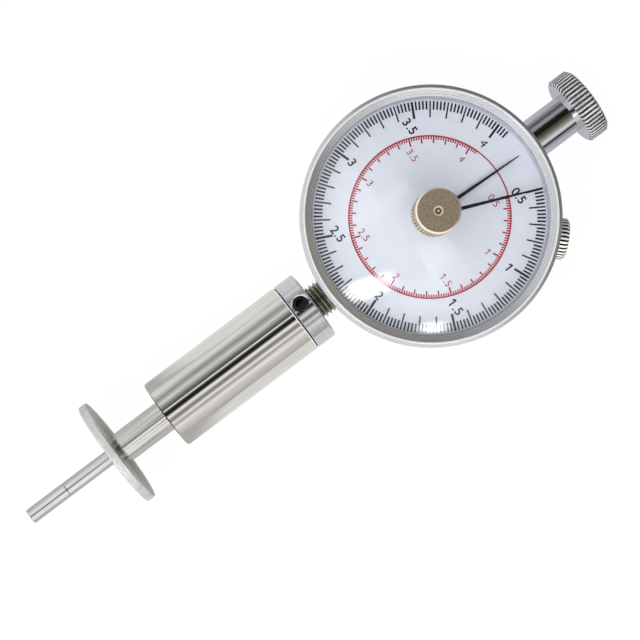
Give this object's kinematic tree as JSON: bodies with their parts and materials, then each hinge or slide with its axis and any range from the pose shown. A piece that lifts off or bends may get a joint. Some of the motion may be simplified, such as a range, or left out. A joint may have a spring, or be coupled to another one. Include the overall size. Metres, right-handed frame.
{
  "type": "fruit hardness tester",
  "caption": "Hand-held fruit hardness tester: a spring-loaded probe with a flange slides into a barrel and turns a dial pointer, and a second pointer keeps the peak reading.",
  "frame": {"origin": "middle of the back cover's outer face, under the centre of the dial", "axes": "+X across the dial to its right, +Y along the probe axis from the tip towards the hand knob, +Z out of the dial"},
  "size_m": [0.0566, 0.1533, 0.0407],
  "materials": {
    "polished_steel": "polished",
    "ground_steel": "ground",
    "satin_nickel": "satin nickel plate",
    "satin_collar": "satin nickel plate",
    "neck_steel": "oiled thread",
    "black_screw": "black oxide",
    "chrome_plate": "polished chrome plate",
    "case_paint": "satin grey paint",
    "cover_aluminium": "turned",
    "bezel_satin": "satin nickel plate",
    "dial_enamel": "matte white enamel",
    "spacer_grey": "satin grey paint",
    "clear_acrylic": "clear",
    "pointer_black": "matte black paint",
    "knob_bronze": "matte bronze",
    "knob_screw_brass": "turned",
    "clamp_brass": "knurled nickel over brass",
    "shoe_steel": "satin",
    "movement_brass": "satin",
    "bright_steel": "bright",
    "spring_steel": "drawn wire",
    "washer_fibre": "fibre"
  },
  "bodies": {
    "case": {"case_ring": "case_paint", "back_cover": "cover_aluminium", "back_cover_screws": "bright_steel", "neck_bush": "neck_steel", "collar": "satin_collar", "collar_set_screw": "black_screw", "barrel": "satin_nickel", "front_bush": "movement_brass", "main_spring": "spring_steel", "guide_tube": "chrome_plate", "push_knob": "chrome_plate", "lower_plate": "movement_brass", "lower_plate_screws": "bright_steel", "pillars": "movement_brass", "top_plate": "movement_brass", "top_plate_screws": "bright_steel", "centre_cock": "movement_brass", "cock_screws": "bright_steel", "rack_guide": "movement_brass", "hairspring": "spring_steel", "hairspring_stud": "movement_brass", "bezel_snap_ring": "spring_steel", "clamp_shoe": "shoe_steel"},
    "plunger": {"probe_tip": "polished_steel", "flange": "ground_steel", "plunger_shaft": "ground_steel", "spring_seat": "bright_steel", "rack_rod": "bright_steel", "guide_pin": "bright_steel"},
    "drive_gear": {"rack_pinion": "bright_steel", "drive_wheel": "movement_brass"},
    "pointer": {"centre_arbor": "bright_steel", "driving_pointer": "pointer_black", "hairspring_collet": "movement_brass"},
    "bezel": {"bezel": "bezel_satin", "crystal": "clear_acrylic", "dial_plate": "dial_enamel", "dial_spacer": "spacer_grey", "crystal_bush": "movement_brass"},
    "peak": {"peak_spindle": "bright_steel", "peak_pointer": "pointer_black", "reset_knob": "knob_bronze", "reset_knob_screw": "knob_screw_brass", "friction_washer": "washer_fibre"},
    "clamp": {"clamp_knob": "clamp_brass"}
  },
  "joints": [
    {"name": "plunger_slide", "type": "slide", "parent": "case", "child": "plunger", "axis": [0, 1, 0], "range_m": [0, 0.0112], "stiffness_N_per_m": 320, "springref_m": -0.00084, "deforming": ["main_spring"]},
    {"name": "drive_gear_turn", "type": "hinge", "parent": "case", "child": "drive_gear", "pos_m": [-0.0055, 0, 0.008], "axis": [0, 0, 1], "range_deg": [0, 161]},
    {"name": "pointer_turn", "type": "hinge", "parent": "case", "child": "pointer", "pos_m": [0, 0, 0.0158], "axis": [0, 0, -1], "range_deg": [0, 344], "deforming": ["hairspring"]},
    {"name": "bezel_turn", "type": "hinge", "parent": "case", "child": "bezel", "pos_m": [0, 0, 0.016], "axis": [0, 0, 1], "continuous": true},
    {"name": "peak_turn", "type": "hinge", "parent": "bezel", "child": "peak", "pos_m": [0, 0, 0.022], "axis": [0, 0, -1], "range_deg": [-15, 335]},
    {"name": "clamp_turn", "type": "hinge", "parent": "case", "child": "clamp", "pos_m": [0.0198, 0.0198, 0.008], "axis": [0.7071, 0.7071, 0], "range_deg": [0, 360]}
  ],
  "couplings": [
    {"joint": "drive_gear_turn", "follows": "plunger_slide", "rad_per_m": 250},
    {"joint": "pointer_turn", "follows": "plunger_slide", "rad_per_m": 535.71}
  ]
}
